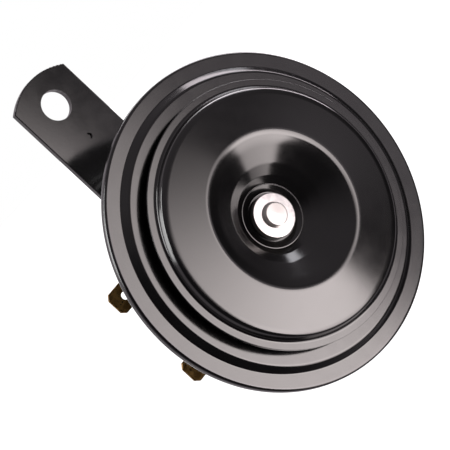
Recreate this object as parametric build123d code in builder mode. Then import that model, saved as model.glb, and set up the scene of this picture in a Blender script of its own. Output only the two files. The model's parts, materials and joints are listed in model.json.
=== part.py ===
"""Electromagnetic disc horn on a flat bracket.

The bracket points up (+Z) and the horn sounds towards -Y. The origin is the centre of the
bracket's mounting hole, half way through the strip. All sizes are in millimetres.

Along the horn's axis a place is given by its depth: the distance behind the flat front face
of the clamp ring. Depths are negative in front of that face.
"""

from build123d import *

import os
from math import asin, atan2, cos, degrees, radians, sin, sqrt

# ---------------------------------------------------------------- driving dimensions

running_gap = 0.05  # radial, between a round piece and its hole
insulation_gap = 0.2  # between the terminal block and the cup

# mounting bracket
bracket_width = 20.0
bracket_thickness = 2.0
bracket_edge_radius = 0.3
hole_to_axis = 55.0  # mounting hole to horn axis
mount_hole_radius = 4.1
hole_to_tip = 9.0
tip_arc_radius = 17.5
hole_to_dimple = 11.35
dimple_radius = 0.85
dimple_depth = 0.7

# magnet
armature_radius = 8.0
armature_collar_width = 3.5
armature_collar_thickness = 1.0
armature_insulator_thickness = 0.6
air_gap = 1.0  # armature to pole at rest
core_radius = 8.0
core_bore_gap = 0.3  # core to bobbin
spool_wall = 1.0
spool_flange_thickness = 1.0
core_below_spool = 0.2  # pole face behind the spool's front
spool_end_gap = 0.2
spool_in_chamber_gap = 0.4  # spool's front behind the shoulder
winding_depth = 7.8  # radial depth of the turns
winding_below_flange = 0.9
wire_radius = 0.35
lead_bend = 1.5
lead_inset = 1.0  # lead inside the edge of the spool's flange
start_lead_angle = -45.0
end_lead_angle = 160.0

# housing cup
cup_sheet = 0.8
pot_depth = 19.8
chamber_depth = 13.0
shoulder_width = 12.5
flange_width = 7.9
cup_base_bend = 3.0  # outside radii of the bends
cup_shoulder_bend = 2.5
cup_inner_bend = 1.2
cup_flange_bend = 0.8

# crimped rim
ring_sheet = 0.6
diaphragm_thickness = 0.3
gasket_thickness = 0.3
gasket_width = 5.5
rim_bend = 0.8  # outside radius of both folds
fold_gap = 0.25  # flange's edge to the inside of the fold
rim_flat_width = 3.25
step_width = 1.6
step_height = 1.5
step_bend = 0.5
upper_flat_width = 7.55
lip_width = 3.2

# diaphragm
bead_radius = 23.0  # centre line of the pressed bead
bead_width = 5.0
bead_height = 0.9
bead_run = 1.4
bead_bend = 0.8

# tone disc
disc_sheet = 0.9
seat_depth = -0.7  # front of the seat
seat_radius = 6.2
seat_bend = 0.5
cone_run = 1.65  # shallow cone round the seat
cone_rise = 0.9
ledge_run = 0.35  # narrow ledge at the foot of the funnel
ledge_rise = 0.05
ledge_bend = 1.0
funnel_foot_bend = 0.3
knee_run = 4.85  # funnel's foot to its knee
knee_rise = 4.5
funnel_sweep = 28.0  # radius of the long curve through the knee
funnel_run = 6.35  # knee to the funnel's top
funnel_rise = 2.35
crown_bend = 1.4
crown_run = 9.5
crown_drop = 1.16
brow_bend = 8.0
brow_run = 1.55  # steeper edge of the crown
brow_drop = 0.34
shoulder_bend = 1.2
wall_run = 0.85
wall_drop = 2.0
foot_bend = 0.95
disc_flange_width = 2.1

# centre stack
shank_radius = 2.5
front_washer_radius = 5.6
front_washer_thickness = 2.0
washer_chamfer = 0.2
head_radius = 3.35
head_side = 0.7
head_rise = 0.9
spacer_radius = 7.0
backing_washer_radius = 9.5
backing_washer_thickness = 1.2
tail_radius = 3.4
tail_depth = 0.9

# breaker
base_thickness = 1.5
base_margin = 0.2
collar_wall = 0.9
leaf_pad_height = 0.5
leaf_thickness = 0.3
leaf_width = 6.0
leaf_tail = 2.0  # leaf beyond its rivet, where the coil's start is soldered
finger_width = 5.0
finger_overlap = 1.9  # finger under the armature's collar
lift_gap = 0.2  # collar to finger at rest
contact_radius = 1.8
contact_height = 0.7
strip_thickness = 0.8
strip_width = 6.0
adjuster_to_contact = 5.6

# terminals
terminal_spacing = 24.4
blade_width = 6.3
blade_thickness = 0.8
blade_length = 8.0
blade_corner = 1.2
blade_edge = 0.2
blade_hole_radius = 1.05
blade_hole_to_tip = 4.0
eyelet_radius = 3.5
block_height = 5.6
block_margin = 4.0  # rivet centre to the block's outer edge
block_end = 4.4
block_depth = 4.6  # rivet centre to the block's inner edge
block_corner = 1.5
rib_width = 3.0
rib_height = 3.2

# rivets
rivet_radius = 1.6
rivet_head_radius = 2.8
rivet_head_height = 0.8
rear_washer_radius = 4.0
rear_washer_thickness = 1.0
tag_thickness = 0.5
tag_radius = 3.0
tag_length = 5.5
tag_width = 2.4

# adjusting screw
adjuster_radius = 2.0
adjuster_length = 7.5
adjuster_slot_width = 0.8
adjuster_slot_depth = 1.2
adjuster_nut_width = 7.0
adjuster_nut_height = 2.2
adjuster_to_block = 4.5  # screw's axis to the terminal block's end
plug_radius = 1.9
plug_length = 2.4

# stud and nut
stud_radius = 4.0
stud_chamfer = 0.8
stud_projection = 2.0  # stud beyond the nut
stud_nut_width = 13.0
stud_nut_height = 6.5
nut_chamfer_slope = 0.577  # drop of a nut's chamfer for each millimetre outwards
spring_washer_radius = 6.6
spring_washer_thickness = 2.0
spring_washer_gap = 1.2

# ---------------------------------------------------------------- depths along the axis

diaphragm_front = ring_sheet
diaphragm_back = diaphragm_front + diaphragm_thickness
flange_front = diaphragm_back + gasket_thickness
flange_back = flange_front + cup_sheet
lip_back = flange_back + ring_sheet
shoulder_back = flange_back + chamber_depth
shoulder_front = shoulder_back - cup_sheet
pot_back = shoulder_back + pot_depth
pot_floor = pot_back - cup_sheet
bracket_back = pot_back + bracket_thickness

base_front = shoulder_front - base_thickness
leaf_back = base_front - leaf_pad_height
leaf_front = leaf_back - leaf_thickness
moving_contact_front = leaf_front - contact_height
strip_back = moving_contact_front - contact_height
strip_front = strip_back - strip_thickness

spool_front = shoulder_back + spool_in_chamber_gap
spool_back = pot_floor - spool_end_gap
core_front = spool_front + core_below_spool
armature_front = diaphragm_back + backing_washer_thickness
armature_back = core_front - air_gap
insulator_back = leaf_front - lift_gap
collar_back = insulator_back - armature_insulator_thickness
collar_front = collar_back - armature_collar_thickness

seat_back = seat_depth + disc_sheet
washer_front = seat_depth - front_washer_thickness
blade_front = shoulder_back + block_height
blade_back = blade_front + blade_thickness
spring_washer_back = bracket_back + spring_washer_thickness
stud_nut_back = spring_washer_back + stud_nut_height
stud_back = stud_nut_back + stud_projection

# ---------------------------------------------------------------- radii and places

spool_bore_radius = core_radius + core_bore_gap
winding_inner_radius = spool_bore_radius + spool_wall
winding_outer_radius = winding_inner_radius + winding_depth
spool_flange_radius = winding_outer_radius + winding_below_flange
pot_radius = spool_flange_radius + cup_base_bend
chamber_radius = pot_radius + shoulder_width
flange_radius = chamber_radius + flange_width
rim_radius = flange_radius + fold_gap + ring_sheet
step_foot_radius = flange_radius - rim_flat_width
step_top_radius = step_foot_radius - step_width
ring_opening_radius = step_top_radius - upper_flat_width
shoulder_flat_inner = pot_radius + cup_inner_bend
shoulder_flat_outer = chamber_radius - cup_shoulder_bend
shoulder_radius = (shoulder_flat_inner + shoulder_flat_outer) / 2

hub_hole_radius = shank_radius + running_gap
rivet_hole_radius = rivet_radius + running_gap
collar_radius = rivet_hole_radius + collar_wall
shoulder_hole_radius = collar_radius + running_gap
stud_hole_radius = stud_radius + running_gap
armature_collar_radius = armature_radius + armature_collar_width

terminal_z = terminal_spacing / 2
terminal_x = -sqrt(shoulder_radius**2 - terminal_z**2)
block_outer_x = terminal_x - block_margin
block_half_length = terminal_z + block_end
blade_tip_x = block_outer_x - blade_length

adjuster_z = -block_half_length - adjuster_to_block
adjuster_x = -sqrt(shoulder_radius**2 - adjuster_z**2)

# angles along the shoulder, anticlockwise from +X as seen from the front
terminal_angle = degrees(atan2(terminal_z, terminal_x))
contact_step = 2 * degrees(asin(adjuster_to_contact / (2 * shoulder_radius)))
contact_angle = degrees(atan2(adjuster_z, adjuster_x)) + contact_step
contact_x = shoulder_radius * cos(radians(contact_angle))
leaf_z = shoulder_radius * sin(radians(contact_angle))
leaf_rivet_x = -contact_x
leaf_rivet_angle = degrees(atan2(leaf_z, leaf_rivet_x))
leaf_tail_x = leaf_rivet_x + leaf_tail
rivet_places = ((terminal_x, terminal_z), (terminal_x, -terminal_z), (leaf_rivet_x, leaf_z))

axis_z = -hole_to_axis
face_y = -bracket_thickness / 2 - pot_back  # the clamp ring's front face
horn_axis = Axis((0, 0, axis_z), (0, 1, 0))

# profile sketches: x is the radius and y the depth
profile = Plane(origin=(0, face_y, axis_z), x_dir=(1, 0, 0), z_dir=(0, 0, 1))


def facing(depth):
    """Plane across the horn axis, looking forwards: x is global X and y is global Z."""
    return Plane(origin=(0, face_y + depth, axis_z), x_dir=(1, 0, 0), z_dir=(0, -1, 0))


def polar(radius, angle):
    """Point of a facing plane at an angle in degrees, anticlockwise from +X."""
    return radius * cos(radians(angle)), radius * sin(radians(angle))


def finish(piece, name):
    """Label a finished sub-part and write it to its own file."""
    piece.part.label = name
    export_step(piece.part, f"parts/{name}.step")


os.makedirs("parts", exist_ok=True)

# ---------------------------------------------------------------- crimped front

# stepped sheet ring whose outer edge is folded round the flange and pressed down as a lip
with BuildPart() as clamp_ring:
    with BuildSketch(profile):
        with BuildLine():
            FilletPolyline(
                (ring_opening_radius, -step_height),
                (step_top_radius, -step_height),
                (step_foot_radius, 0),
                (rim_radius, 0),
                (rim_radius, lip_back),
                (flange_radius - lip_width, lip_back),
                radius=(step_bend + ring_sheet, step_bend, rim_bend, rim_bend),
            )
            offset(amount=ring_sheet, side=Side.LEFT)
        make_face()
    revolve(axis=horn_axis)
finish(clamp_ring, "clamp_ring")

# spring steel sheet with one pressed bead
bead_inner = bead_radius - bead_width / 2
bead_outer = bead_radius + bead_width / 2
with BuildPart() as diaphragm:
    with BuildSketch(profile):
        with BuildLine():
            FilletPolyline(
                (hub_hole_radius, diaphragm_front),
                (bead_inner - bead_run, diaphragm_front),
                (bead_inner, diaphragm_front - bead_height),
                (bead_outer, diaphragm_front - bead_height),
                (bead_outer + bead_run, diaphragm_front),
                (flange_radius, diaphragm_front),
                radius=bead_bend,
            )
            offset(amount=diaphragm_thickness, side=Side.LEFT)
        make_face()
    revolve(axis=horn_axis)
finish(diaphragm, "diaphragm")

with BuildPart() as rim_gasket:
    with BuildSketch(facing(flange_front)):
        Circle(flange_radius)
        Circle(flange_radius - gasket_width, mode=Mode.SUBTRACT)
    extrude(amount=gasket_thickness)
finish(rim_gasket, "rim_gasket")

# deep drawn cup: flange, breaker chamber, shoulder and a narrow pot for the coil
with BuildPart() as housing_cup:
    with BuildSketch(profile):
        with BuildLine():
            FilletPolyline(
                (flange_radius, flange_back),
                (chamber_radius, flange_back),
                (chamber_radius, shoulder_back),
                (pot_radius, shoulder_back),
                (pot_radius, pot_back),
                (stud_hole_radius, pot_back),
                radius=(cup_flange_bend, cup_shoulder_bend, cup_inner_bend, cup_base_bend),
            )
            offset(amount=cup_sheet, side=Side.LEFT)
        make_face()
    revolve(axis=horn_axis)
    with BuildSketch(facing(shoulder_back)):
        with Locations(*rivet_places):
            Circle(shoulder_hole_radius)
        with Locations((adjuster_x, adjuster_z)):
            Circle(adjuster_radius + running_gap)
    extrude(amount=cup_sheet, mode=Mode.SUBTRACT)
finish(housing_cup, "housing_cup")

# ---------------------------------------------------------------- vibrating assembly

# pressed dish: seat, shallow cone, ledge, curved funnel, sloping crown with a steeper brow,
# rounded shoulder, steep wall and a narrow flat edge
with BuildPart() as tone_disc:
    cone_top = (seat_radius + cone_run, seat_depth - cone_rise)
    funnel_foot = (cone_top[0] + ledge_run, cone_top[1] - ledge_rise)
    knee = (funnel_foot[0] + knee_run, funnel_foot[1] - knee_rise)
    funnel_top = (knee[0] + funnel_run, knee[1] - funnel_rise)
    brow = (funnel_top[0] + crown_run, funnel_top[1] + crown_drop)
    shoulder = (brow[0] + brow_run, brow[1] + brow_drop)
    wall_foot = (shoulder[0] + wall_run, shoulder[1] + wall_drop)
    with BuildSketch(profile):
        with BuildLine():
            FilletPolyline(
                (hub_hole_radius, seat_depth),
                (seat_radius, seat_depth),
                cone_top,
                funnel_foot,
                knee,
                funnel_top,
                brow,
                shoulder,
                wall_foot,
                (wall_foot[0] + disc_flange_width, wall_foot[1]),
                radius=(
                    seat_bend,
                    ledge_bend,
                    funnel_foot_bend,
                    funnel_sweep,
                    crown_bend,
                    brow_bend,
                    shoulder_bend,
                    foot_bend,
                ),
            )
            offset(amount=disc_sheet, side=Side.LEFT)
        make_face()
    revolve(axis=horn_axis)
finish(tone_disc, "tone_disc")

with BuildPart() as front_washer:
    with BuildSketch(facing(seat_depth)):
        Circle(front_washer_radius)
        Circle(hub_hole_radius, mode=Mode.SUBTRACT)
    extrude(amount=front_washer_thickness)
    chamfer(front_washer.faces().sort_by(Axis.Y)[0].outer_wire().edges(), length=washer_chamfer)
finish(front_washer, "front_washer")

with BuildPart() as disc_spacer:
    with BuildSketch(facing(diaphragm_front)):
        Circle(spacer_radius)
        Circle(hub_hole_radius, mode=Mode.SUBTRACT)
    extrude(amount=diaphragm_front - seat_back)
finish(disc_spacer, "disc_spacer")

with BuildPart() as backing_washer:
    with BuildSketch(facing(armature_front)):
        Circle(backing_washer_radius)
        Circle(hub_hole_radius, mode=Mode.SUBTRACT)
    extrude(amount=backing_washer_thickness)
finish(backing_washer, "backing_washer")

# soft iron plunger with a collar near its middle and a countersink for the rivet's tail
with BuildPart() as armature:
    with BuildSketch(profile):
        with BuildLine():
            Polyline(
                (hub_hole_radius, armature_front),
                (armature_radius, armature_front),
                (armature_radius, collar_front),
                (armature_collar_radius, collar_front),
                (armature_collar_radius, collar_back),
                (armature_radius, collar_back),
                (armature_radius, armature_back),
                (tail_radius + running_gap, armature_back),
                (hub_hole_radius, armature_back - tail_depth),
                close=True,
            )
        make_face()
    revolve(axis=horn_axis)
finish(armature, "armature")

with BuildPart() as armature_insulator:
    with BuildSketch(facing(insulator_back)):
        Circle(armature_collar_radius)
        Circle(armature_radius + running_gap, mode=Mode.SUBTRACT)
    extrude(amount=armature_insulator_thickness)
finish(armature_insulator, "armature_insulator")

# domed head, shank through the whole stack, and a tail set in the armature's countersink
with BuildPart() as centre_rivet:
    with BuildSketch(profile):
        with BuildLine():
            head_side_front = washer_front - head_side
            dome = TangentArc(
                (0, head_side_front - head_rise), (head_radius, head_side_front), tangent=(1, 0)
            )
            Polyline(
                dome @ 1,
                (head_radius, washer_front),
                (shank_radius, washer_front),
                (shank_radius, armature_back - tail_depth),
                (tail_radius, armature_back),
                (0, armature_back),
                dome @ 0,
            )
        make_face()
    revolve(axis=horn_axis)
finish(centre_rivet, "centre_rivet")

# ---------------------------------------------------------------- magnet

# soft iron core, shouldered down to the stud that holds the horn to its bracket
with BuildPart() as pole_core:
    with BuildSketch(profile):
        with BuildLine():
            Polyline(
                (0, core_front),
                (core_radius, core_front),
                (core_radius, pot_floor),
                (stud_radius, pot_floor),
                (stud_radius, stud_back - stud_chamfer),
                (stud_radius - stud_chamfer, stud_back),
                (0, stud_back),
                close=True,
            )
        make_face()
    revolve(axis=horn_axis)
finish(pole_core, "pole_core")

with BuildPart() as coil_bobbin:
    with BuildSketch(profile):
        with BuildLine():
            Polyline(
                (spool_bore_radius, spool_front),
                (spool_flange_radius, spool_front),
                (spool_flange_radius, spool_front + spool_flange_thickness),
                (winding_inner_radius, spool_front + spool_flange_thickness),
                (winding_inner_radius, spool_back - spool_flange_thickness),
                (spool_flange_radius, spool_back - spool_flange_thickness),
                (spool_flange_radius, spool_back),
                (spool_bore_radius, spool_back),
                close=True,
            )
        make_face()
    revolve(axis=horn_axis)
finish(coil_bobbin, "coil_bobbin")

with BuildPart() as coil_winding:
    winding_length = spool_back - spool_front - 2 * spool_flange_thickness - 2 * running_gap
    with BuildSketch(facing(spool_back - spool_flange_thickness - running_gap)):
        Circle(winding_outer_radius)
        Circle(winding_inner_radius + running_gap, mode=Mode.SUBTRACT)
    extrude(amount=winding_length)
finish(coil_winding, "coil_winding")


def lead(name, start_angle, landing, landing_depth):
    """Wire that leaves the spool's front flange, turns and lies on its landing point."""
    start_x, start_z = polar(spool_flange_radius - lead_inset, start_angle)
    wire_depth = landing_depth - wire_radius
    with BuildPart() as wire:
        with BuildLine() as route:
            FilletPolyline(
                (start_x, face_y + spool_front, axis_z + start_z),
                (start_x, face_y + wire_depth, axis_z + start_z),
                (landing[0], face_y + wire_depth, axis_z + landing[1]),
                radius=lead_bend,
            )
        with BuildSketch(Plane(origin=route.line @ 0, z_dir=route.line % 0)):
            Circle(wire_radius)
        sweep()
    finish(wire, name)


tag_front = base_front - tag_thickness
tag_end_x = terminal_x + tag_length
lead("coil_start_lead", start_lead_angle, (leaf_tail_x + leaf_width / 4, leaf_z), leaf_front)
lead("coil_end_lead", end_lead_angle, (tag_end_x - tag_width / 2, terminal_z), tag_front)

# ---------------------------------------------------------------- breaker

# moulded arc on the shoulder, with raised pads, and collars that line the cup's rivet holes
with BuildPart() as contact_base:
    base_sweep = 360 + leaf_rivet_angle - terminal_angle
    base_width = shoulder_flat_outer - shoulder_flat_inner - 2 * base_margin
    with BuildSketch(facing(shoulder_front)):
        with BuildLine(mode=Mode.PRIVATE) as base_middle:
            CenterArc((0, 0), shoulder_radius, terminal_angle, base_sweep)
        SlotArc(base_middle.edge(), base_width)
    extrude(amount=base_thickness)
    with BuildSketch(facing(base_front)):
        with Locations((terminal_x, -terminal_z)):
            Circle(rivet_head_radius + collar_wall)
    extrude(amount=base_front - strip_back)
    with BuildSketch(facing(base_front)):
        with Locations((leaf_rivet_x, leaf_z)):
            Circle(leaf_width / 2)
    extrude(amount=leaf_pad_height)
    with BuildSketch(facing(shoulder_back)):
        with Locations(*rivet_places):
            Circle(collar_radius)
    extrude(amount=cup_sheet)
    with BuildSketch(facing(shoulder_back)):
        with Locations(*rivet_places):
            Circle(rivet_hole_radius)
        with Locations((adjuster_x, adjuster_z)):
            Circle(adjuster_radius + running_gap)
    extrude(amount=shoulder_back, mode=Mode.SUBTRACT)
finish(contact_base, "contact_base")

# curved strip from the lower terminal's rivet to the fixed contact
with BuildPart() as fixed_contact_strip:
    with BuildSketch(facing(strip_back)):
        with BuildLine(mode=Mode.PRIVATE) as strip_middle:
            CenterArc((0, 0), shoulder_radius, -terminal_angle, contact_angle + terminal_angle)
        SlotArc(strip_middle.edge(), strip_width)
        with Locations((terminal_x, -terminal_z)):
            Circle(rivet_hole_radius, mode=Mode.SUBTRACT)
    extrude(amount=strip_thickness)
finish(fixed_contact_strip, "fixed_contact_strip")

tip_backs = {"fixed_contact_tip": moving_contact_front, "moving_contact_tip": leaf_front}
for tip_name, tip_back in tip_backs.items():
    with BuildPart() as contact_tip:
        with BuildSketch(facing(tip_back)):
            with Locations((contact_x, leaf_z)):
                Circle(contact_radius)
        extrude(amount=contact_height)
    finish(contact_tip, tip_name)

# flat bronze leaf with a finger that reaches under the armature's collar
with BuildPart() as contact_spring:
    finger_tip = -(armature_collar_radius - finger_overlap)
    with BuildSketch(facing(leaf_back)):
        with Locations(((leaf_tail_x + contact_x) / 2, leaf_z)):
            SlotCenterToCenter(leaf_tail_x - contact_x, leaf_width)
        with BuildLine():
            Polyline(
                (-finger_width / 2, leaf_z),
                (-finger_width / 2, finger_tip),
                (finger_width / 2, finger_tip),
                (finger_width / 2, leaf_z),
                close=True,
            )
        make_face()
        with Locations((leaf_rivet_x, leaf_z)):
            Circle(rivet_hole_radius, mode=Mode.SUBTRACT)
    extrude(amount=leaf_thickness)
finish(contact_spring, "contact_spring")


def rivet(name, x, z, front, back):
    """Rivet whose domed heads bear on the faces at the two depths."""
    axis_plane = Plane(origin=(x, face_y, axis_z + z), x_dir=(1, 0, 0), z_dir=(0, 0, 1))
    with BuildPart() as body:
        with BuildSketch(axis_plane):
            with BuildLine():
                front_dome = TangentArc(
                    (0, front - rivet_head_height), (rivet_head_radius, front), tangent=(1, 0)
                )
                back_dome = TangentArc(
                    (0, back + rivet_head_height), (rivet_head_radius, back), tangent=(1, 0)
                )
                Polyline(front_dome @ 1, (rivet_radius, front), (rivet_radius, back), back_dome @ 1)
                Line(back_dome @ 0, front_dome @ 0)
            make_face()
        revolve(axis=Axis(axis_plane.origin, (0, 1, 0)))
    finish(body, name)


rivet("contact_spring_rivet", leaf_rivet_x, leaf_z, leaf_front, shoulder_back + rear_washer_thickness)
rivet("upper_terminal_rivet", terminal_x, terminal_z, tag_front, blade_back)
rivet("lower_terminal_rivet", terminal_x, -terminal_z, strip_front, blade_back)

with BuildPart() as rivet_insulator:
    with BuildSketch(facing(shoulder_back + rear_washer_thickness)):
        with Locations((leaf_rivet_x, leaf_z)):
            Circle(rear_washer_radius)
            Circle(rivet_hole_radius, mode=Mode.SUBTRACT)
    extrude(amount=rear_washer_thickness)
finish(rivet_insulator, "rivet_insulator")

# ring with a tail for the coil's end, under the upper terminal's rivet
with BuildPart() as solder_tag:
    with BuildSketch(facing(base_front)):
        with Locations((terminal_x, terminal_z)):
            Circle(tag_radius)
        with Locations((terminal_x + tag_length / 2, terminal_z)):
            SlotCenterToCenter(tag_length - tag_width, tag_width)
        with Locations((terminal_x, terminal_z)):
            Circle(rivet_hole_radius, mode=Mode.SUBTRACT)
    extrude(amount=tag_thickness)
finish(solder_tag, "solder_tag")

# ---------------------------------------------------------------- terminals


def blade_outline(growth=0):
    """Sketch of a blade with its round eyelet, about the rivet, grown all round by a gap."""
    reach = terminal_x - blade_tip_x
    with BuildSketch(mode=Mode.PRIVATE) as outline:
        Circle(eyelet_radius)
        with Locations((-reach / 2, 0)):
            blade = Rectangle(reach, blade_width)
        chamfer(blade.vertices().group_by(Axis.X)[0], length=blade_corner)
        if growth:
            offset(amount=growth)
    return outline.sketch


terminal_places = ((terminal_x, terminal_z), (terminal_x, -terminal_z))

# moulded block on the shoulder with a recess for each terminal and a rib between them
with BuildPart() as terminal_block:
    block_inner_x = terminal_x + block_depth
    block_middle_x = (block_outer_x + block_inner_x) / 2
    block_length_x = block_inner_x - block_outer_x
    with BuildSketch(facing(blade_back)):
        with Locations((block_middle_x, 0)):
            RectangleRounded(block_length_x, 2 * block_half_length, block_corner)
        Circle(shoulder_flat_inner + insulation_gap, mode=Mode.SUBTRACT)
    extrude(amount=blade_back - shoulder_back)
    with BuildSketch(facing(blade_back + rib_height)):
        with Locations((block_middle_x, 0)):
            Rectangle(block_length_x, rib_width)
        Circle(shoulder_flat_inner + insulation_gap, mode=Mode.SUBTRACT)
    extrude(amount=rib_height)
    with BuildSketch(facing(blade_back)):
        with Locations(*terminal_places):
            add(blade_outline(running_gap))
    extrude(amount=blade_thickness, mode=Mode.SUBTRACT)
    with BuildSketch(facing(blade_back)):
        with Locations(*terminal_places):
            Circle(rivet_hole_radius)
    extrude(amount=blade_back - shoulder_back, mode=Mode.SUBTRACT)
finish(terminal_block, "terminal_block")

for name, z in (("upper_terminal", terminal_z), ("lower_terminal", -terminal_z)):
    with BuildPart() as terminal:
        with BuildSketch(facing(blade_back)):
            with Locations((terminal_x, z)):
                add(blade_outline())
                Circle(rivet_hole_radius, mode=Mode.SUBTRACT)
            with Locations((blade_tip_x + blade_hole_to_tip, z)):
                Circle(blade_hole_radius, mode=Mode.SUBTRACT)
        extrude(amount=blade_thickness)
        tip_edges = terminal.faces().sort_by(Axis.X)[0].edges().filter_by(Axis.Z)
        chamfer(tip_edges, length=blade_edge)
    finish(terminal, name)

# ---------------------------------------------------------------- adjuster

plug_back = strip_back + plug_length
adjuster_back = plug_back + adjuster_length
with BuildPart() as adjusting_screw:
    with BuildSketch(facing(adjuster_back)):
        with Locations((adjuster_x, adjuster_z)):
            Circle(adjuster_radius)
    extrude(amount=adjuster_length)
    with BuildSketch(facing(adjuster_back)):
        with Locations((adjuster_x, adjuster_z)):
            Rectangle(2 * adjuster_radius, adjuster_slot_width)
    extrude(amount=adjuster_slot_depth, mode=Mode.SUBTRACT)
finish(adjusting_screw, "adjusting_screw")

with BuildPart() as adjusting_plug:
    with BuildSketch(facing(plug_back)):
        with Locations((adjuster_x, adjuster_z)):
            Circle(plug_radius)
    extrude(amount=plug_length)
finish(adjusting_plug, "adjusting_plug")


def hexagon_nut(name, x, z, back, width, height, bore):
    """Hexagon nut with its corners chamfered at the rear, whose rear face is at the given depth."""
    corner_radius = width / sqrt(3)
    corner_drop = (corner_radius - width / 2) * nut_chamfer_slope
    with BuildPart() as nut:
        with BuildSketch(facing(back)):
            with Locations((x, z)):
                RegularPolygon(width / 2, 6, major_radius=False)
        extrude(amount=height)
        with BuildSketch(Plane(origin=(x, face_y, axis_z + z), x_dir=(1, 0, 0), z_dir=(0, 0, 1))):
            with BuildLine():
                Polyline(
                    (0, back),
                    (width / 2, back),
                    (corner_radius, back - corner_drop),
                    (corner_radius, back - height),
                    (0, back - height),
                    close=True,
                )
            make_face()
        revolve(axis=Axis((x, face_y, axis_z + z), (0, 1, 0)), mode=Mode.INTERSECT)
        with BuildSketch(facing(back)):
            with Locations((x, z)):
                Circle(bore)
        extrude(amount=height, mode=Mode.SUBTRACT)
    finish(nut, name)


hexagon_nut(
    "adjuster_nut",
    adjuster_x,
    adjuster_z,
    shoulder_back + adjuster_nut_height,
    adjuster_nut_width,
    adjuster_nut_height,
    adjuster_radius + running_gap,
)

# ---------------------------------------------------------------- bracket and its fasteners

# flat strip: round end about the stud, arc shaped end beyond the mounting hole
with BuildPart() as mounting_bracket:
    tip_z = hole_to_axis + hole_to_tip
    tip_sagitta = tip_arc_radius - sqrt(tip_arc_radius**2 - (bracket_width / 2) ** 2)
    corner_z = tip_z - tip_sagitta
    with BuildSketch(facing(bracket_back)):
        with BuildLine():
            Line((bracket_width / 2, 0), (bracket_width / 2, corner_z))
            ThreePointArc((bracket_width / 2, corner_z), (0, tip_z), (-bracket_width / 2, corner_z))
            Line((-bracket_width / 2, corner_z), (-bracket_width / 2, 0))
            ThreePointArc((-bracket_width / 2, 0), (0, -bracket_width / 2), (bracket_width / 2, 0))
        make_face()
    extrude(amount=bracket_thickness)
    end_faces = mounting_bracket.faces().filter_by(Axis.Y)
    outer_edges = [edge for face in end_faces for edge in face.outer_wire().edges()]
    fillet(outer_edges, radius=bracket_edge_radius)
    with BuildSketch(facing(bracket_back)):
        Circle(stud_hole_radius)
        with Locations((0, hole_to_axis)):
            Circle(mount_hole_radius)
    extrude(amount=bracket_thickness, mode=Mode.SUBTRACT)
    with BuildSketch(facing(pot_back + dimple_depth)):
        with Locations((0, hole_to_axis - hole_to_dimple)):
            Circle(dimple_radius)
    extrude(amount=dimple_depth, mode=Mode.SUBTRACT)
finish(mounting_bracket, "mounting_bracket")

with BuildPart() as spring_washer:
    with BuildSketch(facing(spring_washer_back)):
        Circle(spring_washer_radius)
        Circle(stud_hole_radius, mode=Mode.SUBTRACT)
        with Locations((spring_washer_radius / 2, 0)):
            Rectangle(spring_washer_radius, spring_washer_gap, mode=Mode.SUBTRACT)
    extrude(amount=spring_washer_thickness)
finish(spring_washer, "spring_washer")

hexagon_nut("stud_nut", 0, 0, stud_nut_back, stud_nut_width, stud_nut_height, stud_hole_radius)
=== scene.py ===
"""Looks, studio and camera for the electromagnetic disc horn.

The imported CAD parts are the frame. Places are in metres of that frame: the bracket points up
(+Z), the horn sounds towards -Y, and the origin is the centre of the bracket's hole. Patterns
in the materials are laid out in millimetres.
"""

import json
from math import ceil, cos, degrees, pi, radians, sin, tan

import bmesh
import bpy
from mathutils import Matrix, Vector
from mathutils.geometry import intersect_line_line


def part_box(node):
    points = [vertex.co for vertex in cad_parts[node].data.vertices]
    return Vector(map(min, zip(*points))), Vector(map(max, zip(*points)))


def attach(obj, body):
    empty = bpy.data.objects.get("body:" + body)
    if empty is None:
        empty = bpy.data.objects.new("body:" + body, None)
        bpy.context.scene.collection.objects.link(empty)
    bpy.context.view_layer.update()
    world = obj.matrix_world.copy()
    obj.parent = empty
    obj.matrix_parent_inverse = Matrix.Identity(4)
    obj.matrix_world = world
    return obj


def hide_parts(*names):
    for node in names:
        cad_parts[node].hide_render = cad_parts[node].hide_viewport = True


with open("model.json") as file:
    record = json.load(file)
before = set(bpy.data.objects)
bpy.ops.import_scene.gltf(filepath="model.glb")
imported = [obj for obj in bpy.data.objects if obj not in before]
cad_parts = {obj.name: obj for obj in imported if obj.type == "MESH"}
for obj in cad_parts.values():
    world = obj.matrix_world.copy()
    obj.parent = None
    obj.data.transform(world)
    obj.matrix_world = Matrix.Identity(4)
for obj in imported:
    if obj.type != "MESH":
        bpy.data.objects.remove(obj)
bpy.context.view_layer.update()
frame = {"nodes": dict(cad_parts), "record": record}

MM = 0.001
nodes = frame["nodes"]


def middle(name):
    """Centre of a CAD node's box."""
    low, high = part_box(name)
    return (low + high) / 2


horn_centre = Vector((0.0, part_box("clamp_ring")[0].y, middle("clamp_ring").z))


# ---------------------------------------------------------------- materials


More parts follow.
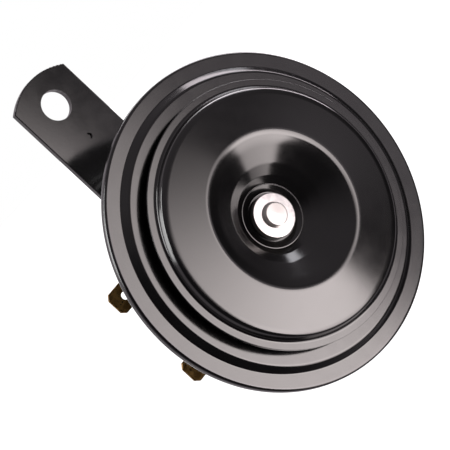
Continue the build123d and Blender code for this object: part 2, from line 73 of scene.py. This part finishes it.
class Look:
    """A node material in the making, with patterns measured in millimetres."""

    def __init__(self, name, **sockets):
        self.material = bpy.data.materials.new(name)
        self.material.use_nodes = True
        self.tree = self.material.node_tree
        self.shader = self.tree.nodes["Principled BSDF"]
        for socket, value in sockets.items():
            self.shader.inputs[socket.replace("_", " ")].default_value = value
        self.height = None
        coordinates = self.tree.nodes.new("ShaderNodeTexCoord")
        self.place = self.tree.nodes.new("ShaderNodeMapping")
        self.place.inputs["Scale"].default_value = (1 / MM, 1 / MM, 1 / MM)
        self.tree.links.new(coordinates.outputs["Object"], self.place.inputs["Vector"])

    def node(self, kind, inputs=None, **settings):
        made = self.tree.nodes.new(kind)
        for setting, value in settings.items():
            setattr(made, setting, value)
        for socket, value in (inputs or {}).items():
            if isinstance(value, bpy.types.NodeSocket):
                self.tree.links.new(value, made.inputs[socket])
            else:
                made.inputs[socket].default_value = value
        return made

    def stretched(self, stretch):
        """Places squeezed by stretch along each axis, for patterns that run one way."""
        inputs = {"Vector": self.place.outputs[0], "Scale": stretch}
        return self.node("ShaderNodeMapping", inputs).outputs[0]

    def noise(self, size, detail=3.0, rough=0.5, where=None):
        """Cloudy pattern from 0 to 1 whose blobs are about size millimetres."""
        made = self.node(
            "ShaderNodeTexNoise",
            {
                "Vector": where or self.place.outputs[0],
                "Scale": 1 / size,
                "Detail": detail,
                "Roughness": rough,
            },
        )
        return made.outputs[0]

    def remap(self, value, from_low, from_high, to_low, to_high):
        made = self.node(
            "ShaderNodeMapRange",
            {
                "Value": value,
                "From Min": from_low,
                "From Max": from_high,
                "To Min": to_low,
                "To Max": to_high,
            },
            interpolation_type="SMOOTHSTEP",
        )
        return made.outputs[0]

    def mix(self, factor, first, second):
        """First colour at factor 0, second at 1."""
        made = self.node("ShaderNodeMix", {"Factor": factor}, data_type="RGBA")
        for socket, value in ((6, first), (7, second)):
            if isinstance(value, bpy.types.NodeSocket):
                self.tree.links.new(value, made.inputs[socket])
            else:
                made.inputs[socket].default_value = (*value, 1.0)
        return made.outputs[2]

    def colour(self, value):
        self.tree.links.new(value, self.shader.inputs["Base Color"])

    def roughness(self, value, low, high):
        spread = self.remap(value, 0.3, 0.7, low, high)
        self.tree.links.new(spread, self.shader.inputs["Roughness"])

    def relief(self, value, depth):
        """Adds bumps depth millimetres high."""
        inputs = {"Height": value, "Distance": depth * MM, "Strength": 1.0}
        if self.height:
            inputs["Normal"] = self.height
        self.height = self.node("ShaderNodeBump", inputs).outputs[0]
        self.tree.links.new(self.height, self.shader.inputs["Normal"])


def enamel(name, tint, gloss_low, gloss_high, peel_depth):
    """Stoved black enamel: a glossy skin with faint orange peel and cloudy gloss."""
    look = Look(name, IOR=1.8, Coat_Weight=1.0, Coat_Roughness=gloss_low, Coat_IOR=1.5)
    cloud = look.noise(9.0)
    dark = tuple(0.75 * channel for channel in tint)
    look.colour(look.mix(look.remap(cloud, 0.35, 0.65, 0.0, 1.0), dark, tint))
    look.roughness(look.noise(3.5, detail=5.0), gloss_low, gloss_high)
    look.relief(look.noise(0.9, detail=2.0), peel_depth)
    return look.material


def plated(name, bright, dull, gloss_low, gloss_high, blotch=2.2, scratch_depth=0.002):
    """Plated or bare metal: cloudy tone, cloudy gloss and fine marks from handling."""
    look = Look(name, Metallic=1.0)
    cloud = look.remap(look.noise(blotch, detail=5.0), 0.38, 0.62, 0.0, 1.0)
    look.colour(look.mix(cloud, dull, bright))
    look.roughness(look.noise(blotch / 2, detail=4.0), gloss_low, gloss_high)
    look.relief(look.noise(0.25, detail=4.0), scratch_depth)
    return look.material


def zinc_with_painted_dark_side(name, rim_radius):
    """Plated washer: outside rim_radius its side is painted near black, a painted reflection of the
    dark surroundings, and made rougher.
    """
    look = Look(name, Metallic=1.0)

    def vector_math(operation, *values):
        made = look.node("ShaderNodeVectorMath", dict(enumerate(values)), operation=operation)
        return made.outputs["Value" if operation == "LENGTH" else "Vector"]

    def scalar_math(operation, *values):
        made = look.node("ShaderNodeMath", dict(enumerate(values)), operation=operation)
        return made.outputs[0]

    # distance from the horn's axis, in millimetres
    offset = vector_math("SUBTRACT", look.place.outputs[0], horn_centre / MM)
    radius = vector_math("LENGTH", vector_math("MULTIPLY", offset, (1.0, 0.0, 1.0)))
    edge = look.remap(radius, rim_radius, rim_radius + painted_dark_blend, 0.0, 1.0)
    cloud = look.remap(look.noise(2.2, detail=5.0), 0.38, 0.62, 0.0, 1.0)
    face = look.mix(cloud, (0.74, 0.72, 0.72), (0.82, 0.80, 0.79))
    # painted reflection: the near-black colour on the washer's side stands in for the dark
    # surroundings it reflects
    look.colour(look.mix(edge, face, (0.10, 0.095, 0.09)))
    gloss = look.remap(look.noise(1.1, detail=4.0), 0.3, 0.7, 0.1, 0.15)
    roughness = scalar_math("ADD", gloss, scalar_math("MULTIPLY", edge, side_dulling))
    look.tree.links.new(roughness, look.shader.inputs["Roughness"])
    look.relief(look.noise(0.25, detail=4.0), 0.002)
    return look.material


def tarnished(name):
    """Stamped brass gone olive brown, with darker freckles and a few paler rubbed places."""
    look = Look(name, Metallic=1.0)
    cloud = look.remap(look.noise(1.6, detail=6.0, rough=0.6), 0.35, 0.65, 0.0, 1.0)
    base = look.mix(cloud, (0.36, 0.20, 0.06), (0.74, 0.46, 0.16))
    freckles = look.remap(look.noise(0.45, detail=3.0), 0.58, 0.68, 0.0, 1.0)
    look.colour(look.mix(freckles, base, (0.06, 0.035, 0.015)))
    look.roughness(look.noise(0.8, detail=4.0), 0.32, 0.55)
    look.relief(look.noise(0.3, detail=4.0), 0.006)
    return look.material


def moulding(name, pale, deep, gloss_low=0.35, gloss_high=0.5, grain_depth=0.012):
    """Moulded plastic: a fine spark-eroded grain and slow drifts of tone."""
    look = Look(name, IOR=1.5)
    look.colour(look.mix(look.remap(look.noise(5.0), 0.35, 0.65, 0.0, 1.0), deep, pale))
    look.roughness(look.noise(1.2), gloss_low, gloss_high)
    look.relief(look.noise(0.22, detail=2.0), grain_depth)
    return look.material


def fibrous(name, pale, deep):
    """Vulcanised fibre or paper: short flecks and a dry surface."""
    look = Look(name, IOR=1.45)
    flecks = look.noise(0.5, detail=6.0, rough=0.7, where=look.stretched((1.0, 5.0, 1.0)))
    look.colour(look.mix(look.remap(flecks, 0.35, 0.65, 0.0, 1.0), deep, pale))
    look.roughness(flecks, 0.6, 0.85)
    look.relief(flecks, 0.02)
    return look.material


def wound(name):
    """Enamelled copper wire: turns side by side along the coil's axis, with painted shade darkening
    the grooves between turns.
    """
    look = Look(name, Metallic=1.0, Coat_Weight=0.6, Coat_Roughness=0.15)
    turns = look.node(
        "ShaderNodeTexWave",
        {"Vector": look.place.outputs[0], "Scale": 0.5, "Distortion": 0.3, "Detail": 1.0},
        wave_type="BANDS",
        bands_direction="Y",
        wave_profile="SIN",
    ).outputs["Fac"]
    # painted shade: the low parts of each turn, the grooves between wires, get the dark copper
    # colour
    look.colour(look.mix(turns, (0.23, 0.07, 0.025), (0.72, 0.29, 0.12)))
    look.roughness(look.noise(0.8), 0.22, 0.38)
    look.relief(turns, 0.15)
    return look.material


washer_radius = 5.62
painted_dark_inset = 0.16  # how far in from its edge the washer's face ends and the painted dark side begins
painted_dark_blend = 0.12  # millimetres over which the face turns into the painted dark side
side_dulling = 0.4  # roughness that the side has above the face

looks = {
    "black_enamel": enamel("black_enamel", (0.0030, 0.0029, 0.0032), 0.14, 0.18, 0.0016),
    "bracket_enamel": enamel("bracket_enamel", (0.006, 0.006, 0.0062), 0.09, 0.13, 0.003),
    "zinc_plate": plated("zinc_plate", (0.80, 0.78, 0.77), (0.72, 0.70, 0.70), 0.08, 0.13),
    "zinc_painted_dark_side": zinc_with_painted_dark_side("zinc_painted_dark_side", washer_radius - painted_dark_inset),
    "satin_zinc": plated("satin_zinc", (0.94, 0.91, 0.89), (0.88, 0.84, 0.82), 0.36, 0.42),
    "soft_iron": plated("soft_iron", (0.42, 0.41, 0.40), (0.27, 0.26, 0.25), 0.35, 0.55),
    "spring_steel": plated("spring_steel", (0.50, 0.50, 0.52), (0.36, 0.36, 0.39), 0.18, 0.3),
    "brass": tarnished("brass"),
    "bronze": plated("bronze", (0.66, 0.42, 0.22), (0.45, 0.27, 0.13), 0.25, 0.42),
    "silver": plated("silver", (0.88, 0.87, 0.84), (0.66, 0.64, 0.60), 0.18, 0.32, blotch=0.8),
    "copper_wire": wound("copper_wire"),
    "brown_moulding": moulding("brown_moulding", (0.20, 0.085, 0.035), (0.13, 0.05, 0.02)),
    "black_moulding": moulding("black_moulding", (0.022, 0.022, 0.024), (0.013, 0.013, 0.014)),
    "ivory_moulding": moulding("ivory_moulding", (0.72, 0.66, 0.52), (0.62, 0.55, 0.42)),
    "red_fibre": fibrous("red_fibre", (0.42, 0.07, 0.04), (0.26, 0.035, 0.02)),
    "gasket_paper": fibrous("gasket_paper", (0.40, 0.32, 0.22), (0.27, 0.21, 0.14)),
}

own_look = {"mounting_bracket": "bracket_enamel"}
for subpart in frame["record"]["subparts"]:
    name = subpart["node"]
    mesh = nodes[name].data
    mesh.materials.clear()
    mesh.materials.append(looks[own_look.get(name, subpart["material_slot"])])


# ---------------------------------------------------------------- turned pieces

# front of the rim's flat; depths below are from it, and negative towards the front
ring_step = 1.5
rim_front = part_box("clamp_ring")[0].y + ring_step * MM
turns = 240
finest_turn = 3.0  # degrees between points along a bend
longest_step = 0.4  # and millimetres
run_guard = 0.03  # points this far inside each end of a straight run, which keep it flat
guard_share = 0.25  # and only where the guard takes less than this share of the run
edge_round = 0.12
on_axis = 1e-6  # a smaller radius counts as a point on the axis


def crossing(first, second):
    """Where two lines, each given by two points, cross."""
    lines = [point.to_3d() for line in (first, second) for point in line]
    return intersect_line_line(*lines)[0].to_2d()


def shifted(corners, distance):
    """The corners of a bent line moved sideways, with the bends following."""
    points = [Vector(corner[:2]) for corner in corners]
    runs = []
    for start, stop in zip(points, points[1:]):
        along = (stop - start).normalized()
        sideways = distance * Vector((-along.y, along.x))
        runs.append((start + sideways, stop + sideways))
    moved = [(*runs[0][0], corners[0][2])]
    for first, second, corner in zip(runs, runs[1:], corners[1:]):
        turn = (first[1] - first[0]).cross(second[1] - second[0])
        bend = corner[2] - distance * (1 if turn > 0 else -1)
        moved.append((*crossing(first, second), max(bend, edge_round)))
    moved.append((*runs[-1][1], corners[-1][2]))
    return moved


def rounded(corners, closed=True):
    """Points along an outline of (radius, depth, bend) corners."""
    outline = []
    count = len(corners)
    for place, corner in enumerate(corners):
        here = Vector(corner[:2])
        if not closed and place in (0, count - 1):
            outline.append([here])
            continue
        back = (Vector(corners[place - 1][:2]) - here).normalized()
        ahead = (Vector(corners[(place + 1) % count][:2]) - here).normalized()
        inside = back.angle(ahead)
        centre = here + (back + ahead).normalized() * corner[2] / sin(inside / 2)
        arm = here + back * corner[2] / tan(inside / 2) - centre
        sweep = pi - inside
        steps = max(2, ceil(degrees(sweep) / finest_turn), ceil(sweep * corner[2] / longest_step))
        if back.cross(ahead) > 0:
            sweep = -sweep
        part_turns = [Matrix.Rotation(sweep * step / steps, 2) for step in range(steps + 1)]
        outline.append([centre + turn @ arm for turn in part_turns])
    filled = []
    for place, bend in enumerate(outline):
        filled += bend
        if place == count - 1 and not closed:
            break
        start, stop = bend[-1], outline[(place + 1) % count][0]
        share = run_guard / (stop - start).length
        if share < guard_share:
            filled += [start.lerp(stop, share), start.lerp(stop, 1 - share)]
    return filled


def turned(name, outline, body, node, slot, look=None):
    """A solid turned round the horn's axis, which stands for a CAD node."""
    shape = bmesh.new()
    rings = []
    for radius, depth in outline:
        y = rim_front + depth * MM
        if radius < on_axis:
            rings.append([shape.verts.new((horn_centre.x, y, horn_centre.z))] * turns)
            continue
        ring = []
        for step in range(turns):
            angle = 2 * pi * step / turns
            x = horn_centre.x + radius * MM * cos(angle)
            z = horn_centre.z + radius * MM * sin(angle)
            ring.append(shape.verts.new((x, y, z)))
        rings.append(ring)
    solid_middle = outline[0][0] < on_axis
    pairs = zip(rings, rings[1:] if solid_middle else rings[1:] + rings[:1])
    for first, second in pairs:
        for step in range(turns):
            after = (step + 1) % turns
            corners = [first[step], first[after], second[after], second[step]]
            face = shape.faces.new(list(dict.fromkeys(corners)))
            face.smooth = True
    bmesh.ops.recalc_face_normals(shape, faces=shape.faces)
    mesh = bpy.data.meshes.new(name)
    shape.to_mesh(mesh)
    shape.free()
    mesh.materials.append(looks[look or slot])
    piece = bpy.data.objects.new(name, mesh)
    bpy.context.scene.collection.objects.link(piece)
    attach(piece, body)
    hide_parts(node)
    return piece


def pressed(name, corners, sheet, body, node, slot):
    """A pressed sheet: the corners bend its front, and its cut edges are slightly rounded."""
    ends = [(*corners[0][:2], edge_round), *corners[1:-1], (*corners[-1][:2], edge_round)]
    back = shifted(ends, sheet)
    return turned(name, rounded(ends + back[::-1]), body, node, slot)


# the tone disc: seat, shallow cone, ledge, the funnel's steeper foot, the funnel, its mouth, crown,
# shoulder, wall and edge
pressed(
    "disc_pressing",
    [
        (2.6, -0.7, 0.0),
        (6.2, -0.7, 0.5),
        (7.85, -1.68, 0.08),
        (8.05, -1.66, 0.08),
        (9.8, -3.24, 1.5),
        (12.3, -4.97, 5.0),
        (17.0, -7.55, 20.0),
        (19.3, -8.55, 3.4),
        (29.3, -7.3, 6.0),
        (30.45, -7.0, 1.2),
        (31.3, -5.0, 0.95),
        (33.4, -5.0, 0.0),
    ],
    0.9,
    "vibrator",
    "tone_disc",
    "black_enamel",
)

washer_outline = rounded(
    [
        (2.6, -0.7, edge_round),
        (washer_radius, -0.7, 0.2),
        (washer_radius, -2.7, 0.25),
        (2.6, -2.7, edge_round),
    ]
)
turned(
    "washer_turning", washer_outline, "vibrator", "front_washer", "zinc_plate", "zinc_painted_dark_side"
)
rivet_outline = rounded(
    [
        (0.0, -4.15, 0.0),
        (2.85, -4.05, 0.4),
        (3.3, -2.7, 0.1),
        (2.5, -2.7, 0.1),
        (2.5, 13.7, 0.1),
        (3.4, 14.6, 0.1),
        (0.0, 14.6, 0.0),
    ],
    closed=False,
)
turned("rivet_turning", rivet_outline, "vibrator", "centre_rivet", "zinc_plate", "satin_zinc")

# the crimped ring: opening, upper flat, step, rim's flat, fold and lip
pressed(
    "ring_pressing",
    [
        (29.0, -ring_step, 0.0),
        (36.55, -ring_step, 1.1),
        (38.15, 0.0, 0.5),
        (42.25, 0.0, 0.8),
        (42.25, 2.6, 0.8),
        (38.2, 2.6, 0.0),
    ],
    0.6,
    "horn_body",
    "clamp_ring",
    "black_enamel",
)


# ---------------------------------------------------------------- studio


def towards(azimuth, elevation):
    """Direction from the horn. Azimuth turns from -Y towards +X, elevation rises to +Z."""
    a, e = radians(azimuth), radians(elevation)
    return Vector((cos(e) * sin(a), -cos(e) * cos(a), sin(e)))


def facing(place, target):
    """Turns a lamp or card at place so that its -Z looks at target."""
    return (place - target).to_track_quat("Z", "Y").to_matrix().to_4x4()


def soft_box(
    name, azimuth, elevation, width, height, distance, radiance, tint=(1.0, 1.0, 1.0), fades=None
):
    """A diffuse panel that spans width by height degrees seen from the horn.

    fades gives, across and then up the panel, how far in from each edge its light grows to the
    full, as shares of the panel.
    """
    lamp = bpy.data.lights.new(name, "AREA")
    lamp.shape = "RECTANGLE"
    lamp.size = 2 * distance * tan(radians(width) / 2)
    lamp.size_y = 2 * distance * tan(radians(height) / 2)
    lamp.energy = radiance * pi * lamp.size * lamp.size_y
    lamp.color = tint
    place = horn_centre + distance * towards(azimuth, elevation)
    panel = bpy.data.objects.new(name, lamp)
    bpy.context.scene.collection.objects.link(panel)
    panel.matrix_world = Matrix.Translation(place) @ facing(place, horn_centre)
    panel.visible_camera = False
    if fades is not None:
        lamp.use_nodes = True
        tree = lamp.node_tree
        position = tree.nodes.new("ShaderNodeNewGeometry").outputs["Parametric"]
        axes = tree.nodes.new("ShaderNodeSeparateXYZ")
        tree.links.new(position, axes.inputs[0])
        strength = None
        for axis, (near, far) in zip("XY", fades):
            for start, stop in ((0.0, near), (1.0, 1.0 - far)):
                if start == stop:
                    continue
                ramp = tree.nodes.new("ShaderNodeMapRange")
                ramp.inputs["From Min"].default_value = start
                ramp.inputs["From Max"].default_value = stop
                tree.links.new(axes.outputs[axis], ramp.inputs["Value"])
                if strength is None:
                    strength = ramp.outputs[0]
                else:
                    both = tree.nodes.new("ShaderNodeMath")
                    both.operation = "MULTIPLY"
                    tree.links.new(strength, both.inputs[0])
                    tree.links.new(ramp.outputs[0], both.inputs[1])
                    strength = both.outputs[0]
        tree.links.new(strength, tree.nodes["Emission"].inputs["Strength"])
    return panel


def staged(name, shape, material):
    """Adds a bmesh to the scene as part of the studio."""
    mesh = bpy.data.meshes.new(name)
    shape.to_mesh(mesh)
    shape.free()
    mesh.materials.append(material)
    made = bpy.data.objects.new(name, mesh)
    bpy.context.scene.collection.objects.link(made)
    return made


def white_paths(tree):
    """1 for the rays that show the white background: camera, glossy and transmission rays."""
    paths = tree.nodes.new("ShaderNodeLightPath")
    value = paths.outputs["Is Camera Ray"]
    for other in ("Is Glossy Ray", "Is Transmission Ray"):
        larger = tree.nodes.new("ShaderNodeMath")
        larger.operation = "MAXIMUM"
        tree.links.new(value, larger.inputs[0])
        tree.links.new(paths.outputs[other], larger.inputs[1])
        value = larger.outputs[0]
    return value


warm, pinkish, bluish = (1.0, 0.91, 0.90), (1.0, 0.9, 0.95), (0.96, 0.95, 1.0)
key_fades = ((0.085, 0.085), (0.50, 0.43))
soft_box("key_panel", 12.0, -30.0, 36.5, 84.0, 0.535, 4.6, warm, key_fades)
soft_box("side_panel", 103.0, 24.0, 24.0, 50.0, 0.7, 2.8, pinkish)
soft_box("inner_side_panel", 74.5, 32.0, 9.0, 18.0, 0.7, 2.7, bluish)
soft_box("left_strip", -86.0, 52.0, 14.0, 40.0, 0.7, 4.0)
soft_box("rear_left_panel", -122.0, 40.0, 40.0, 30.0, 0.9, 2.6)
soft_box("rear_right_panel", 128.0, 40.0, 44.0, 30.0, 0.9, 2.2)

# white paper floor, far enough below for the low lamps to clear it
floor_depth = 1800 * MM
floor_half_width = 40.0
paper = Look("floor_paper", Roughness=0.9, Emission_Color=(1.0, 1.0, 1.0, 1.0))
paper.colour(paper.mix(paper.noise(120.0), (0.84, 0.84, 0.84), (0.86, 0.86, 0.86)))
paper.tree.links.new(white_paths(paper.tree), paper.shader.inputs["Emission Strength"])
shape = bmesh.new()
bmesh.ops.create_grid(shape, x_segments=1, y_segments=1, size=floor_half_width)
floor = staged("floor", shape, paper.material)
floor.location = (0.0, 0.0, -floor_depth)

# Black cloth hung round the horn, open only behind it, as studios do for black gloss. It shows
# only in reflections, with the room's faint light on it, and the lamps stand inside it.
cloth_radius = 1.6
cloth_edge = 1.5  # it ends this far behind the horn
cloth_light = 0.02
cloth_tint = (1.0, 0.9, 0.96, 1.0)
# each azimuth, elevation, degrees off it where the light starts and is full, and its strength
faint_patches = (
    (40.0, 60.0, 80.0, 25.0, 0.13),
    (36.0, -8.0, 14.0, 3.0, 0.35),
    (180.0, 0.0, 105.0, 60.0, 0.3),
)
cloth = bpy.data.materials.new("black_cloth")
cloth.use_nodes = True
tree = cloth.node_tree
tree.nodes.clear()
position = tree.nodes.new("ShaderNodeTexCoord").outputs["Object"]
outward = tree.nodes.new("ShaderNodeVectorMath")
outward.operation = "NORMALIZE"
tree.links.new(position, outward.inputs[0])


def patch(azimuth, elevation, wide, narrow, strength):
    """Faint light on the cloth that grows from nothing wide degrees off a direction."""
    dot = tree.nodes.new("ShaderNodeVectorMath")
    dot.operation = "DOT_PRODUCT"
    dot.inputs[1].default_value = towards(azimuth, elevation)
    spread = tree.nodes.new("ShaderNodeMapRange")
    spread.interpolation_type = "SMOOTHSTEP"
    spread.inputs["From Min"].default_value = cos(radians(wide))
    spread.inputs["From Max"].default_value = cos(radians(narrow))
    spread.inputs["To Max"].default_value = strength
    tree.links.new(outward.outputs["Vector"], dot.inputs[0])
    tree.links.new(dot.outputs["Value"], spread.inputs["Value"])
    return spread.outputs[0]


total = tree.nodes.new("ShaderNodeValue").outputs[0]
total.default_value = cloth_light
for settings in faint_patches:
    added = tree.nodes.new("ShaderNodeMath")
    added.operation = "ADD"
    tree.links.new(total, added.inputs[0])
    tree.links.new(patch(*settings), added.inputs[1])
    total = added.outputs[0]
glow = tree.nodes.new("ShaderNodeEmission")
glow.inputs["Color"].default_value = cloth_tint
tree.links.new(total, glow.inputs["Strength"])
tree.links.new(glow.outputs[0], tree.nodes.new("ShaderNodeOutputMaterial").inputs["Surface"])
cloth.cycles.emission_sampling = "NONE"
shape = bmesh.new()
bmesh.ops.create_uvsphere(shape, u_segments=64, v_segments=32, radius=cloth_radius)
behind = [face for face in shape.faces if face.calc_center_median().y > cloth_edge]
bmesh.ops.delete(shape, geom=behind, context="FACES")
drape = staged("black_cloth", shape, cloth)
drape.location = horn_centre
for visibility in ("camera", "diffuse", "shadow", "transmission", "volume_scatter"):
    setattr(drape, f"visible_{visibility}", False)

# white to camera, glossy and transmission rays, and a soft fill to the rest
soft_fill = 0.3
white = 1.0
world = bpy.data.worlds.new("studio")
bpy.context.scene.world = world
world.use_nodes = True
tree = world.node_tree
tree.nodes.clear()
background = tree.nodes.new("ShaderNodeBackground")
fill = tree.nodes.new("ShaderNodeMapRange")
fill.inputs["To Min"].default_value = soft_fill
fill.inputs["To Max"].default_value = white
tree.links.new(white_paths(tree), fill.inputs["Value"])
tree.links.new(fill.outputs[0], background.inputs["Strength"])
background.inputs["Color"].default_value = (1.0, 1.0, 1.0, 1.0)
tree.links.new(background.outputs[0], tree.nodes.new("ShaderNodeOutputWorld").inputs["Surface"])

# ---------------------------------------------------------------- camera

camera_azimuth = -26.82
camera_elevation = 7.0
camera_distance = 480 * MM
camera_roll = -46.79
aim = Vector((-7.46, -31.39, -48.34)) * MM

camera_data = bpy.data.cameras.new("camera")
camera_data.sensor_width = 36.0
camera_data.lens = 160.0
camera_data.clip_start = 0.01
camera = bpy.data.objects.new("camera", camera_data)
bpy.context.scene.collection.objects.link(camera)
backward = towards(camera_azimuth, camera_elevation)
camera.matrix_world = (
    Matrix.Translation(aim + camera_distance * backward)
    @ backward.to_track_quat("Z", "Y").to_matrix().to_4x4()
    @ Matrix.Rotation(radians(camera_roll), 4, "Z")
)
bpy.context.scene.camera = camera
bpy.context.scene.view_settings.view_transform = "Standard"
